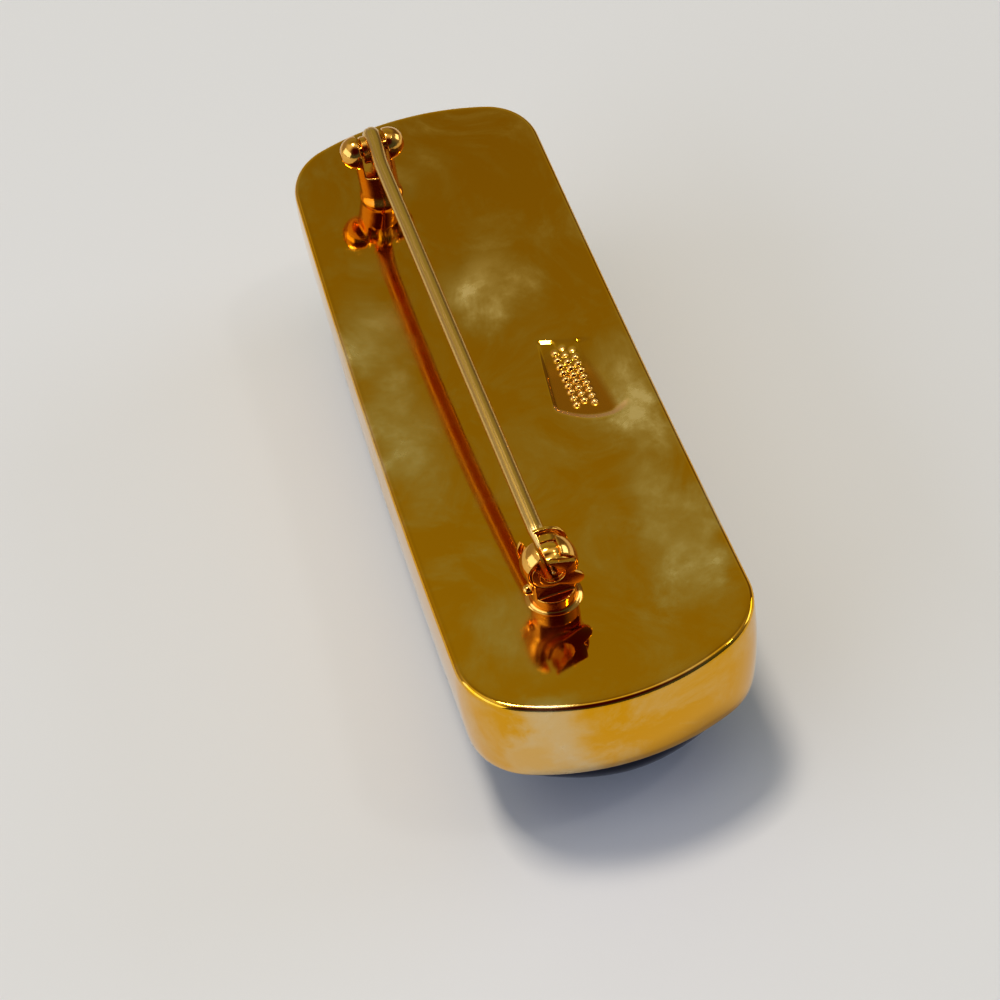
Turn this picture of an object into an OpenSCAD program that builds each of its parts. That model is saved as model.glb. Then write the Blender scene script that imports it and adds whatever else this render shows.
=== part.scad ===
// Bar brooch, lying face down on its domed front as it is put away.
// Millimetres. X runs along the bar from the catch end to the hinge end, Y across it, Z up.
// The origin is on the surface that the brooch lies on, under the middle of the bar.

/* [Case] */
// Length of the metal case along the bar
case_length = 54; // [48:1:60]
// Width of the metal case at its middle
case_width = 18.8; // [17:0.1:22]
// Depth of the polished side wall
wall_height = 7.2; // [6:0.2:9]
// How far each long side bows out between its corners
side_bow = 0.35; // [0.2:0.05:1]
// How far each short end bows out between its corners
end_bow = 3.1; // [2:0.1:4]
// Radius of the four corners, seen from above
corner_radius = 4.7; // [3.6:0.1:5.6]
// How far the ends of the bar rise above its middle
arch_rise = 2.3; // [0:0.1:3]
// How far the long edges of the back plate rise above its middle line
dish_rise = 0.8; // [0:0.1:1.2]
// How far the side wall swells out at half its depth
wall_swell = 0.15; // [0:0.05:0.3]
// Radius of the rounded edge between the back plate and the side wall
edge_round = 0.45; // [0.3:0.05:0.6]
// Thickness of the back plate
plate_thickness = 0.8; // [0.6:0.1:1]
// Thickness of the side wall
wall_thickness = 0.6; // [0.5:0.05:0.8]

/* [Stone] */
// Straight drop of the stone below the rim, before it rounds over
stone_drop = 0.6; // [0.5:0.1:1.4]
// Radius of the stone's rounded shoulder
stone_shoulder = 3.2; // [2:0.1:3.4]
// Extra depth of the stone's crown inside the shoulder
stone_crown = 1.1; // [0.5:0.1:1.4]
// How far the stone's shoulder stands in from the outside of the rim
stone_inset = 0.45; // [0.25:0.05:0.55]
// How far the crown of the stone is drawn in lengthwise towards its corners
stone_tuck = 4.5; // [0:0.5:6]
// Gap between the stone and the metal around it
stone_gap = 0.06; // [0.04:0.02:0.12]

/* [Stamped field] */
// Distance of the stamped field's middle along the bar
plaque_x = -0.5; // [-1.5:0.1:0.5]
// Distance of the stamped field's middle across the bar
plaque_y = -5.0; // [-5.2:0.1:-4.6]
// Length of the stamped field along the bar
plaque_length = 6.6; // [6:0.1:7]
// Width of the stamped field at its head, towards the hinge
plaque_head = 3.4; // [3:0.1:3.8]
// Width of the stamped field at its foot, towards the catch
plaque_foot = 4.7; // [4:0.1:4.8]
// How far the foot of the stamped field bows out
plaque_bow = 0.7; // [0.4:0.1:1]
// Slant of its head and foot against a square line across the bar
plaque_slant = 20; // [0:1:22]
// Depth of the stamped field
plaque_depth = 0.22; // [0.15:0.01:0.3]

/* [Pin] */
// Diameter of the pin's stem
stem_diameter = 1.0; // [0.8:0.05:1.1]
// Diameter of the pin's blunt point
point_diameter = 0.4; // [0.3:0.05:0.5]
// Distance along the bar from its middle to the rivet
hinge_x = 20.5; // [19.5:0.1:21]
// Distance across the bar from its middle line to the rivet's middle
hinge_y = 3.1; // [2.6:0.1:3.6]
// Distance along the bar from the rivet to the middle of the catch
pin_span = 38.3; // [37:0.1:39]
// Angle between the pin and the bar's middle line, seen from above
pin_skew = 1.7; // [0:0.1:2.4]
// Angle that the closed pin falls towards the catch
pin_fall = 3.1; // [2.7:0.1:3.4]

/* [Hinge] */
// Height of the rivet above the back plate
rivet_height = 4.25; // [4:0.05:4.5]
// Diameter of the rivet
rivet_diameter = 0.76; // [0.7:0.02:0.8]
// Radius of each rounded ear of the hinge
ear_radius = 1.15; // [1.1:0.05:1.3]
// Distance from the middle of the slot to the centre of each ear
ear_offset = 1.2; // [1.15:0.05:1.3]
// Width of the slot between the two ears
ear_slot = 1.95; // [1.9:0.05:2]
// Width of the flattened eye on the tail of the pin
eye_width = 1.6; // [1.4:0.05:1.7]

/* [Catch] */
// Radius of the catch's ball
ball_radius = 1.75; // [1.7:0.05:1.9]
// Diameter of the bore through the ball, in which the lock turns
ball_bore = 2.84; // [2.8:0.02:2.9]
// Width of the opening in the top of the ball
mouth_width = 1.25; // [1.2:0.05:1.3]
// Outer diameter of the lock's barrel
barrel_diameter = 2.7; // [2.66:0.02:2.76]
// Diameter of the hole through the lock
barrel_bore = 1.24; // [1.2:0.02:1.28]
// Length of the thumb tab from the middle of the lock
tab_length = 2.1; // [1.9:0.1:2.2]
// Angle of the closed thumb tab below the level
tab_drop = 37; // [30:1:45]
// Angle between the tab and the lock's own opening
slot_lead = 162; // [155:1:168]

/* [Hidden] */
curve = 48;
steps_side = 5;
steps_corner = 7;
steps_end = 6;

half_length = case_length / 2;
half_width = case_width / 2;
stone_depth = stone_drop + stone_shoulder * sin(75) + stone_crown;
back_z = wall_height + stone_depth;
stem_radius = stem_diameter / 2;
rivet_radius = rivet_diameter / 2;
eye_bore = rivet_radius + 0.06;
ear_bore = rivet_radius + 0.04;
stem_lift = eye_bore + stem_radius;
eye_radius = stem_lift + stem_radius + 0.05;
fork_post = ear_offset + 0.22;
fork_spread = 0.18;
catch_post = 1.45;
catch_spread = 0.35;
foot_sink = 0.35;
foot_lip = 0.2;
foot_flare = 0.6;
cutter = 8;
stop_radius = 0.34;
stop_x = -0.2;
rivet_proud = 0.04;
tab_root = 0.75;
tab_tip = 0.5;
near_face = -0.8;
far_face = 0.6;
face_floor = -2.25;
collar_near = 1.15;
collar_far = 1.4;
collar_radius = 1.6;
lock_plate_near = -1.15;
lock_plate_far = -0.86;
plate_ring = 0.95;
plate_corners = [[1.37, 35], [1.58, 68], [1.52, 144]];
barrel_radius = barrel_diameter / 2;
slot_width = mouth_width - 0.1;
tail_end = 2.6;
taper_start = pin_span - 2.4;
taper_mid = pin_span - 1.1;
pin_end = pin_span + 1.0;
pellet_rows = 7;
pellet_pitch = 0.8;
pellet_radius = 0.26;
pellet_height = 0.16;

// Height of the back plate over a point of the bar
function arch(x) = arch_rise * pow(x / half_length, 2);
function dish(y) = dish_rise * pow(y / half_width, 2);
function back_at(x, y) = back_z + arch(x) + dish(y);

// The outline is a long arc for each side, a tighter one for each end and a fillet for each corner
side_radius = (pow(half_length, 2) + pow(side_bow, 2)) / (2 * side_bow);
end_radius = (pow(half_width, 2) + pow(end_bow, 2)) / (2 * end_bow);
side_centre = [0, half_width - side_radius];
end_centre = [half_length - end_radius, 0];
reach_side = side_radius - corner_radius;
reach_end = end_radius - corner_radius;
centre_gap = norm(end_centre - side_centre);
towards_end = (end_centre - side_centre) / centre_gap;
along = (pow(reach_side, 2) - pow(reach_end, 2) + pow(centre_gap, 2)) / (2 * centre_gap);
aside = sqrt(pow(reach_side, 2) - pow(along, 2));
corner_centre = side_centre + along * towards_end + aside * [towards_end.y, -towards_end.x];
turn_side = atan2(corner_centre.y - side_centre.y, corner_centre.x - side_centre.x);
turn_end = atan2(corner_centre.y - end_centre.y, corner_centre.x - end_centre.x);

// Each outline point is [centre x, centre y, radius, direction]: an inset only shortens the radius
function arc_points(c, r, from, to, steps, last) =
    [for (i = [0 : steps - (last ? 0 : 1)]) [c.x, c.y, r, from + (to - from) * i / steps]];
quarter = concat(
    arc_points(end_centre, end_radius, 0, turn_end, steps_end, false),
    arc_points(corner_centre, corner_radius, turn_end, turn_side, steps_corner, false),
    arc_points(side_centre, side_radius, turn_side, 90, steps_side, true));
last_point = len(quarter) - 1;
upper_half = concat(quarter,
    [for (i = [last_point - 1 : -1 : 0]) [-quarter[i][0], quarter[i][1], quarter[i][2], 180 - quarter[i][3]]]);
outline = concat(upper_half,
    [for (i = [len(upper_half) - 2 : -1 : 1])
        [upper_half[i][0], -upper_half[i][1], upper_half[i][2], -upper_half[i][3]]]);
function outline_xy(p, inset) = [p[0] + (p[2] - inset) * cos(p[3]), p[1] + (p[2] - inset) * sin(p[3])];

// One ring of the loft: the outline moved in by inset and shrunk, with a drop from the back or the rim
function ring_back(inset, shrink, drop) =
    [for (p = outline) let (q = shrink * outline_xy(p, inset)) [q.x, q.y, back_at(q.x, q.y) - drop]];
function ring_rim(inset, shrink, drop) =
    [for (p = outline) let (q = shrink * outline_xy(p, inset)) [q.x, q.y, stone_depth + arch(q.x) - drop]];
function ring_stone(inset, shrink, drop) =
    [for (p = ring_rim(inset, shrink, drop))
        let (tuck = stone_tuck * drop / stone_depth * pow(p.y / half_width, 2) * pow(p.x / half_length, 4),
             x = p.x - sign(p.x) * tuck)
        [x, p.y, p.z]];
function ring_crown(inset, part) =
    [for (p = ring_stone(inset, 1, stone_depth - stone_crown))
        let (x = part * p.x) [x, part * p.y, arch(x) + stone_crown * part * part]];
function ring_wall(part) =
    [for (p = outline)
        let (q = outline_xy(p, -4 * wall_swell * part * (1 - part)),
             top = back_at(q.x, q.y) - edge_round,
             low = stone_depth + arch(q.x))
        [q.x, q.y, low + (top - low) * part]];

// Places of the rivet and of the lock's middle, which follow from the pin's line
rivet_z = back_at(hinge_x, hinge_y) + rivet_height;
catch_x = hinge_x - pin_span * cos(pin_skew);
catch_y = hinge_y - pin_span * sin(pin_skew);
catch_z = rivet_z + stem_lift / cos(pin_fall) - pin_span * tan(pin_fall);
catch_height = catch_z - back_at(catch_x, catch_y);

// Closed skin through a list of rings, with a point in the middle of the first and of the last
module loft(rings, first_z, last_z) {
    count = len(rings[0]);
    rows = len(rings);
    first_point = rows * count;
    last_tip = first_point + 1;
    points = concat([for (r = rings) each r], [[0, 0, first_z], [0, 0, last_z]]);
    sides = [for (r = [0 : rows - 2], i = [0 : count - 1]) each
        let (a = r * count + i, b = r * count + (i + 1) % count)
        [[a, a + count, b], [b, a + count, b + count]]];
    caps = [for (i = [0 : count - 1]) each
        [[first_point, i, (i + 1) % count],
         [last_tip, (rows - 1) * count + (i + 1) % count, (rows - 1) * count + i]]];
    polyhedron(points, concat(sides, caps), convexity = 6);
}

// The pressed cup: cavity, rim, side wall, rounded edge and dished back plate
module cup() {
    inner = wall_thickness;
    rings = [
        ring_back(inner, 0.5, plate_thickness),
        ring_back(inner, 1, plate_thickness),
        ring_rim(inner, 1, 0),
        ring_wall(0),
        ring_wall(0.25),
        ring_wall(0.5),
        ring_wall(0.75),
        ring_wall(1),
        ring_back(edge_round * (1 - cos(30)), 1, edge_round * (1 - sin(30))),
        ring_back(edge_round * (1 - cos(60)), 1, edge_round * (1 - sin(60))),
        ring_back(edge_round, 1, 0),
        ring_back(edge_round, 0.75, 0),
        ring_back(edge_round, 0.5, 0),
        ring_back(edge_round, 0.25, 0)];
    loft(rings, back_z - plate_thickness, back_z);
}

// Shallow stamped field with slanted ends and a bowed foot, bare but for two rows of plain pellets
module stamped_field() {
    slant = tan(plaque_slant);
    head = [for (side = [1, -1])
        [plaque_length / 2 + side * plaque_head / 2 * slant, side * plaque_head / 2]];
    foot_arc = [for (i = [0 : 8])
        let (part = 1 - i / 4)
        [-plaque_length / 2 - part * plaque_foot / 2 * slant - plaque_bow * (1 - part * part),
         -part * plaque_foot / 2]];
    difference() {
        linear_extrude(3) polygon(concat(head, foot_arc));
        for (i = [0 : pellet_rows - 1], side = [-1, 1])
            translate([(i - (pellet_rows - 1) / 2) * pellet_pitch, side * pellet_pitch * 0.45, 0])
                cylinder(h = pellet_height, r1 = pellet_radius, r2 = pellet_radius * 0.6, $fn = 8);
    }
}
module stamped_recess() {
    lean = atan(2 * dish_rise * plaque_y / pow(half_width, 2));
    translate([plaque_x, plaque_y, back_at(plaque_x, plaque_y)])
        rotate([lean, 0, 0]) translate([0, 0, -plaque_depth]) stamped_field();
}

// Moves what is drawn about the rivet, with -X towards the catch, to its place on the bar
module at_rivet() {
    translate([hinge_x, hinge_y, rivet_z]) rotate([0, 0, pin_skew]) children();
}

// Moves what is drawn about the middle of the lock, with -X towards the near end, to its place
module at_catch() {
    translate([catch_x, catch_y, catch_z]) rotate([0, 0, pin_skew]) children();
}

// Round bar along -X, from and to being distances from the rivet or from the lock's middle
module rod(from, to, r1, r2) {
    translate([-from, 0, 0]) rotate([0, -90, 0]) cylinder(h = to - from, r1 = r1, r2 = r2, $fn = curve);
}

// Soldered foot: a round post, height below the level of what it carries, that flares at the plate
module foot(height, top, post, spread) {
    flare = post + spread;
    shaft = foot_lip + foot_flare;
    translate([0, 0, -height - foot_sink]) cylinder(h = foot_sink + foot_lip, r = flare, $fn = curve);
    translate([0, 0, -height + foot_lip]) cylinder(h = foot_flare, r1 = flare, r2 = post, $fn = curve);
    translate([0, 0, -height + shaft]) cylinder(h = height - shaft + top, r = post, $fn = curve);
}

// Two rounded ears on one foot, slotted for the eye of the pin and bored for the rivet
module hinge_fork() {
    slot_floor = -eye_radius - 0.2;
    difference() {
        union() {
            foot(rivet_height, -0.3, fork_post, fork_spread);
            for (side = [-1, 1]) translate([0, side * ear_offset, 0]) sphere(r = ear_radius, $fn = curve);
        }
        translate([-cutter / 2, -ear_slot / 2, slot_floor]) cube([cutter, ear_slot, cutter]);
        rotate([90, 0, 0]) cylinder(h = cutter, r = ear_bore, center = true, $fn = curve);
    }
}

// Ball on a foot, bored along the pin for the lock and open at the top for the pin, with a stop
module catch_body() {
    difference() {
        union() {
            foot(catch_height, 0, catch_post, catch_spread);
            sphere(r = ball_radius, $fn = curve);
        }
        translate([near_face - cutter, -cutter / 2, face_floor]) cube(cutter);
        translate([far_face, -cutter / 2, face_floor]) cube(cutter);
        rotate([0, 90, 0]) cylinder(h = cutter, r = ball_bore / 2, center = true, $fn = curve);
        translate([-cutter / 2, -mouth_width / 2, 0]) cube([cutter, mouth_width, cutter]);
    }
    translate([stop_x, catch_post + 0.12, -ball_radius - 0.05]) sphere(r = stop_radius, $fn = curve);
}

// The case: the pressed cup with both findings soldered on
module case() color([0.80, 0.62, 0.25]) {
    difference() {
        cup();
        stamped_recess();
    }
    at_rivet() hinge_fork();
    at_catch() catch_body();
}

// The domed front, which fills the cup and stands below its rim
module stone() color([0.03, 0.05, 0.16]) {
    seat = wall_thickness + stone_gap;
    shoulder = [for (turn = [0 : 15 : 75])
        ring_stone(stone_inset + stone_shoulder * (1 - cos(turn)), 1,
            stone_drop + stone_shoulder * sin(turn))];
    edge = stone_inset + stone_shoulder * (1 - cos(75));
    crown = [for (part = [0.75, 0.5, 0.25])
        ring_crown(edge, part)];
    rings = concat(
        [for (i = [len(crown) - 1 : -1 : 0]) crown[i]],
        [for (i = [len(shoulder) - 1 : -1 : 0]) shoulder[i]],
        [ring_rim(stone_inset, 1, stone_gap),
         ring_rim(seat, 1, stone_gap),
         ring_back(seat, 1, plate_thickness + stone_gap),
         ring_back(seat, 0.66, plate_thickness + stone_gap),
         ring_back(seat, 0.33, plate_thickness + stone_gap)]);
    loft(rings, 0, back_z - plate_thickness - stone_gap);
}

// Rivet through the ears and the eye, set almost flush with each ear
module hinge_rivet() color([0.72, 0.55, 0.25]) {
    reach = ear_offset + sqrt(pow(ear_radius, 2) - pow(ear_bore, 2)) + rivet_proud;
    at_rivet() rotate([90, 0, 0]) cylinder(h = 2 * reach, r = rivet_radius, center = true, $fn = curve);
}

// Stem with a flattened eye at the rivet, a short swelling behind it and a ground point
module pin_stem() color([0.72, 0.60, 0.40]) {
    at_rivet() rotate([0, -pin_fall, 0]) {
        difference() {
            union() {
                rotate([90, 0, 0]) cylinder(h = eye_width, r = eye_radius, center = true, $fn = curve);
                translate([0, 0, stem_lift]) {
                    rod(0, tail_end, stem_radius + 0.07, stem_radius);
                    rod(tail_end, taper_start, stem_radius, stem_radius);
                    rod(taper_start, taper_mid, stem_radius, stem_radius - 0.03);
                    rod(taper_mid, pin_end, stem_radius - 0.03, point_diameter / 2);
                }
            }
            rotate([90, 0, 0]) cylinder(h = cutter, r = eye_bore, center = true, $fn = curve);
        }
    }
}

// Turning lock: a slit barrel between a thin collar and a shaped plate with the thumb tab
module catch_lock() color([0.74, 0.56, 0.22]) {
    at_catch() rotate([tab_drop, 0, 0]) {
        difference() {
            union() {
                rod(-collar_near, -lock_plate_far, barrel_radius, barrel_radius);
                rod(-collar_far, -collar_near, collar_radius, collar_radius);
                lock_plate();
            }
            rod(-cutter / 2, cutter / 2, barrel_bore / 2, barrel_bore / 2);
            rotate([-slot_lead, 0, 0]) translate([-cutter / 2, -cutter, -slot_width / 2])
                cube([cutter, cutter, slot_width]);
        }
    }
}

// The lock's near plate: a ring about the pin, a cheek with straight edges and the rounded thumb tab.
// Each of its corners is a distance from the pin and a turn from the tab, which points along -Y
module lock_plate() {
    translate([lock_plate_near, 0, 0]) rotate([90, 0, 90]) linear_extrude(lock_plate_far - lock_plate_near) {
        hull() {
            circle(r = plate_ring, $fn = curve);
            polygon([for (c = plate_corners) [-c[0] * cos(c[1]), c[0] * sin(c[1])]]);
        }
        hull() {
            circle(r = tab_root, $fn = curve);
            translate([tab_tip - tab_length, 0]) circle(r = tab_tip, $fn = curve);
        }
    }
}

case();
stone();
hinge_rivet();
pin_stem();
catch_lock();
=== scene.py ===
"""Looks of a gilt bar brooch that lies on its dark domed front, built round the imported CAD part."""

from __future__ import annotations

import logging
import math
from dataclasses import dataclass
from enum import Enum
from typing import Any, Callable, Sequence

import bpy
import numpy as np
from mathutils import Matrix, Vector

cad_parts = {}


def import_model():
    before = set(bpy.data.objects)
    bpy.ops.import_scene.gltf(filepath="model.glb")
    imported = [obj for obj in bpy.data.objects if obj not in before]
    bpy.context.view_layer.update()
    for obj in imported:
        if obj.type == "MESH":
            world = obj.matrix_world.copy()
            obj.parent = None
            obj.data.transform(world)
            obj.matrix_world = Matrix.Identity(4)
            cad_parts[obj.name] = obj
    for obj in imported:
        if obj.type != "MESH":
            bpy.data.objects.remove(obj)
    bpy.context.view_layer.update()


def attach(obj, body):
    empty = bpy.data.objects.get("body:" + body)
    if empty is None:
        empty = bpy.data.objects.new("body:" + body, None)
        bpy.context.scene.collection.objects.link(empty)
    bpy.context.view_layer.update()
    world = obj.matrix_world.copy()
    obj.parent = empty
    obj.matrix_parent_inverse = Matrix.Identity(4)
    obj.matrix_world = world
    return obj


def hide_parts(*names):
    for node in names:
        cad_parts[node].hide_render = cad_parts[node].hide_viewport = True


log = logging.getLogger("bar_brooch")

MM = 0.001
FULL_TURN = 2 * math.pi
QUARTER_TURN = math.pi / 2
PHOTO_PIXELS = 1000
WIRE_MAP = "length_and_turn"

Tree = bpy.types.NodeTree
Socket = bpy.types.NodeSocket
Piece = bpy.types.Object
Pair = tuple[float, float]
Triple = tuple[float, float, float]
Skin = tuple[np.ndarray, list[list[int]]]


class Body(Enum):
    """The bodies of the CAD part that a piece can ride on."""

    BROOCH = "brooch"
    PIN = "pin"
    LOCK = "lock"


class Slot(Enum):
    """The record's material slots."""

    CASE = "gilt case"
    FRONT = "dark front"
    RIVET = "gilt rivet"
    WIRE = "pin wire"
    LOCK = "gilt lock"


# ---- colours and nodes ----


def linear(colour: str) -> tuple[float, float, float, float]:
    """Turns an sRGB hex colour into linear light.

    Args:
        colour: six hex digits, with or without a leading hash.

    Returns:
        Red, green and blue in linear light, and an alpha of 1.
    """
    digits = colour.lstrip("#")
    shares = [int(digits[i:i + 2], 16) / 255 for i in (0, 2, 4)]
    light = [c / 12.92 if c <= 0.04045 else ((c + 0.055) / 1.055) ** 2.4 for c in shares]
    return light[0], light[1], light[2], 1.0


def add_node(tree: Tree, kind: str, inputs: dict[Any, Any] | None = None, **settings: Any) -> bpy.types.Node:
    """Adds a node with its settings, its fixed values and its links.

    Args:
        tree: the node tree that the node goes into.
        kind: the node's type name.
        inputs: input name or number to a value, or to the output socket that feeds it.
        settings: the node's own properties.

    Returns:
        The new node.
    """
    node = tree.nodes.new(kind)
    for name, value in settings.items():
        setattr(node, name, value)
    for name, value in (inputs or {}).items():
        if isinstance(value, Socket):
            tree.links.new(value, node.inputs[name])
        else:
            node.inputs[name].default_value = value
    return node


# ---- finishes ----


@dataclass(frozen=True)
class Relief:
    """Fine unevenness of a surface: its grain and depth in millimetres, its strength and its detail."""

    grain: float
    depth: float
    strength: float
    detail: float

    def lay(self, tree: Tree, place: Socket, mm: float = MM, **below: Socket) -> tuple[Socket, Socket]:
        """Lays the unevenness over a surface.

        Args:
            tree: the material's node tree.
            place: the point on the surface.
            mm: a millimetre in the place's own units.
            below: the Normal of an unevenness that this one lies on, if any.

        Returns:
            The unevenness itself, and the normal that it gives.
        """
        noise = add_node(tree, "ShaderNodeTexNoise", {
            "Vector": place, "Scale": 1 / (self.grain * mm), "Detail": self.detail}).outputs["Fac"]
        bump = add_node(tree, "ShaderNodeBump", {
            "Strength": self.strength, "Distance": self.depth * MM, "Height": noise, **below})
        return noise, bump.outputs["Normal"]


@dataclass(frozen=True)
class Finish:
    """A finish that a node material is made of. Each kind of finish lays out its own shader."""

    name: str

    def shader(self, tree: Tree) -> bpy.types.Node:
        """Lays out the nodes of the finish, and gives back its shader."""
        raise NotImplementedError

    def material(self) -> bpy.types.Material:
        """Builds the node material.

        Returns:
            The finished material.
        """
        material = bpy.data.materials.new(self.name)
        material.use_nodes = True
        tree = material.node_tree
        tree.nodes.clear()
        add_node(tree, "ShaderNodeOutputMaterial", {"Surface": self.shader(tree).outputs[0]})
        return material


@dataclass(frozen=True)
class EvenFinish(Finish):
    """A finish of one colour and one roughness, with a relief."""

    colour: str
    roughness: float
    relief: Relief
    metallic: float = 1.0

    def shader(self, tree: Tree) -> bpy.types.Node:
        """Lays the relief under one colour.

        Args:
            tree: the material's node tree.

        Returns:
            The shader.
        """
        place = add_node(tree, "ShaderNodeTexCoord").outputs["Object"]
        return add_node(tree, "ShaderNodeBsdfPrincipled", {
            "Base Color": linear(self.colour), "Metallic": self.metallic, "Roughness": self.roughness,
            "Normal": self.relief.lay(tree, place)[1]})


@dataclass(frozen=True)
class CastGilding(EvenFinish):
    """Gilding on small cast findings, left as cast and barrelled.

    To the eye it is a bright, slightly lumpy mirror, redder in its hollows, where gold mirrors gold.
    """

    name: str = "cast_gilding"
    colour: str = "#EEB25C"
    roughness: float = 0.14
    relief: Relief = Relief(grain=0.6, depth=0.08, strength=0.3, detail=3.0)


@dataclass(frozen=True)
class StampedGilding(EvenFinish):
    """Gilding on thin stamped sheet, tumbled after stamping.

    To the eye it is a smooth mirror with a fine tooth, so that its reflections are a little soft.
    """

    name: str = "stamped_gilding"
    colour: str = "#F3B95A"
    roughness: float = 0.16
    relief: Relief = Relief(grain=0.15, depth=0.01, strength=0.08, detail=2.0)


@dataclass(frozen=True)
class PaintedBoard(EvenFinish):
    """Matt painted board that the brooch lies on. To the eye it is a plain pale floor."""

    name: str = "painted_board"
    colour: str = "#E3E5E8"
    roughness: float = 0.55
    relief: Relief = Relief(grain=1.5, depth=0.02, strength=0.03, detail=4.0)
    metallic: float = 0.0


@dataclass(frozen=True)
class DullAndSheenPatch:
    """A place on the case where the gilding has dulled, or, at the near end, a pale patch painted as a
    highlight, in millimetres on the bar.
    """

    x: float
    y: float
    long: float
    wide: float
    strength: float


DULL_AND_SHEEN_PATCHES = (
    DullAndSheenPatch(9.5, -1.5, 5.0, 4.0, 0.65),
    DullAndSheenPatch(6.5, 7.0, 6.0, 3.0, 0.65),
    DullAndSheenPatch(-2.0, 7.5, 6.0, 3.5, 0.55),
    DullAndSheenPatch(-15.5, -6.5, 8.0, 3.0, 0.8),
    DullAndSheenPatch(-5.5, -7.5, 7.0, 2.6, 0.7),
    DullAndSheenPatch(-20.0, 5.0, 4.5, 3.0, 0.45),
    # A pale patch on the near end's wall and corner: a painted highlight, not dulled gilding.
    DullAndSheenPatch(-26.6, 6.0, 1.6, 4.0, 0.8),
)


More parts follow.
